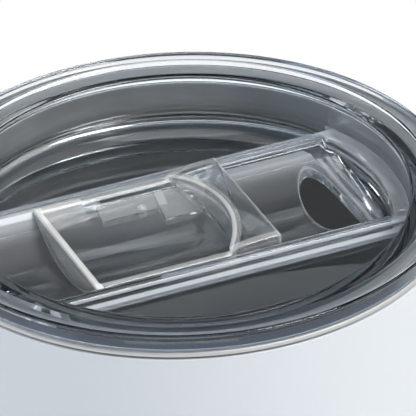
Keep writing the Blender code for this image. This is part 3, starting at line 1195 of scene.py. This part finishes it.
@dataclass
class Studio:
    """Pale floor, sky, soft lamps and the camera, with angles in degrees and the lens in millimetres."""

    floor_half: float = 6.0
    floor_colour: Colour = (0.9, 0.9, 0.9)
    floor_rough: float = 0.6
    shadow_core: float = 0.05
    shadow_reach: float = 0.22
    ambient: float = 0.33
    sky: tuple[Stop, ...] = (
        (0.0, WHITE), (0.04, (0.70, 0.82, 1.0)), (0.10, (0.10, 0.20, 0.42)),
        (0.17, (0.055, 0.095, 0.165)), (0.26, (0.042, 0.058, 0.080)),
        (0.85, (0.042, 0.058, 0.080)), (0.96, (0.92, 0.95, 1.0)))
    azimuth: float = -22.54
    elevation: float = 31.41
    roll: float = -1.83
    pan: float = -0.2185
    tilt: float = -0.1753
    distance: float = 0.888
    lens: float = 569.5
    clip_end: float = 50.0
    lamps: tuple[Softbox, ...] = (
        Softbox("right_softbox", (0.75, -0.35, 0.75), (0.6, 0.6), 1.6),
        Softbox("left_softbox", (-0.8, -0.1, 0.6), (0.4, 0.8), 0.6, (0.55, 0.74, 1.0)),
        Softbox("rear_softbox", (0.353, 0.611, 0.842), (1.0, 0.17), 0.6, (0.90, 0.96, 1.0)),
        Softbox("key_softbox", (0.34, -0.48, 1.02), (0.5, 0.32), 6.0),
        Softbox("front_window", (-0.408, -0.875, 0.465), (0.9, 0.25), 1.1, (0.90, 0.96, 1.0)),
        Softbox("rear_fill", (-0.75, 0.43, 0.70), (0.6, 0.6), 2.4, (0.90, 0.95, 1.0)),
    )

    @staticmethod
    def looking_rays(graph: Graph) -> Value:
        """Mask of the rays that show the surroundings and don't light a matt surface.

        Args:
            graph: the graph that uses the mask.

        Returns:
            1 for a ray from the camera, a gloss or a clear piece, 0 for any other.
        """
        camera, gloss, through = (
            graph.add("ShaderNodeLightPath", output=kind)
            for kind in ("Is Camera Ray", "Is Glossy Ray", "Is Transmission Ray"))
        total = camera + gloss + through
        return graph.add("ShaderNodeMath", {"operation": "MINIMUM"}, {0: total, 1: 1.0})

    def surround(self) -> None:
        """World that shows the sky to looking rays, white at the horizon, and lights all else softly."""
        world = bpy.data.worlds.new("studio_sky")
        bpy.context.scene.world = world
        world.use_nodes = True
        graph = Graph(world.node_tree)
        looking = self.looking_rays(graph)
        facing = graph.add("ShaderNodeTexCoord", output="Generated")
        height = graph.add("ShaderNodeSeparateXYZ", inputs={0: facing}, output="Z")
        sky = graph.add("ShaderNodeValToRGB", {"stops": self.sky}, {0: height})
        light = graph.add("ShaderNodeBackground", inputs={
            "Color": graph.tint(looking, WHITE, sky),
            "Strength": looking * (1.0 - self.ambient) + self.ambient})
        graph.add("ShaderNodeOutputWorld", inputs={"Surface": light})

    def floor(self) -> None:
        """Pale floor that keeps the shadow near the tumbler and is white further out."""
        Bench.clear_selection()
        bpy.ops.mesh.primitive_plane_add(size=2 * self.floor_half, location=(0, 0, 0))
        plane = bpy.context.active_object
        plane.name = "studio_floor"
        material = bpy.data.materials.new("pale_floor")
        material.use_nodes = True
        graph = Graph(material.node_tree)
        away = graph.distance((1.0, 1.0, 0.0), (0.0, 0.0, 0.0))
        far = graph.add("ShaderNodeMapRange", inputs={
            "Value": away, "From Min": self.shadow_core, "From Max": self.shadow_reach})
        matte = graph.add("ShaderNodeBsdfPrincipled", inputs={
            "Base Color": (*self.floor_colour, 1.0), "Roughness": self.floor_rough})
        glow = graph.add("ShaderNodeEmission", inputs={"Color": (*WHITE, 1.0)})
        mixed = graph.add("ShaderNodeMixShader", inputs={
            0: self.looking_rays(graph) * far, 1: matte, 2: glow})
        graph.add("ShaderNodeOutputMaterial", inputs={"Surface": mixed})
        plane.data.materials.append(material)

    def camera(self, target: Vector) -> None:
        """Camera at the photo's angle, aimed near the target."""
        data = bpy.data.cameras.new("photo_camera")
        data.lens = self.lens
        data.clip_end = self.clip_end
        camera = bpy.data.objects.new("photo_camera", data)
        bpy.context.scene.collection.objects.link(camera)
        turn, lift = math.radians(self.azimuth), math.radians(self.elevation)
        back = Vector((
            math.sin(turn) * math.cos(lift), -math.cos(turn) * math.cos(lift), math.sin(lift)))
        aim = (-back).to_track_quat("-Z", "Y").to_matrix()
        for angle, axis in ((self.pan, "Y"), (self.tilt, "X"), (self.roll, "Z")):
            aim = aim @ Matrix.Rotation(math.radians(angle), 3, axis)
        camera.matrix_world = Matrix.Translation(target + back * self.distance) @ aim.to_4x4()
        bpy.context.scene.camera = camera

    def build(self) -> None:
        """Set up the whole studio."""
        target = Vector((0, 0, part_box("lid_body")[1].z))
        bpy.context.scene.view_settings.view_transform = "Standard"
        self.surround()
        self.floor()
        for lamp in self.lamps:
            lamp.light(target)
        self.camera(target)


def main() -> None:
    """Build every piece in order and report it, then set up the studio."""
    logging.basicConfig(level=logging.INFO)
    closure = ClosureSizes()
    for assembly in (TumblerBody(), Lid(closure), Slider(closure)):
        for piece in assembly.build():
            LOG.info("%s is dressed: %d faces", piece.name, len(piece.data.polygons))
    Studio().build()
    Bench.clear_selection()


if __name__ == "__main__":
    main()
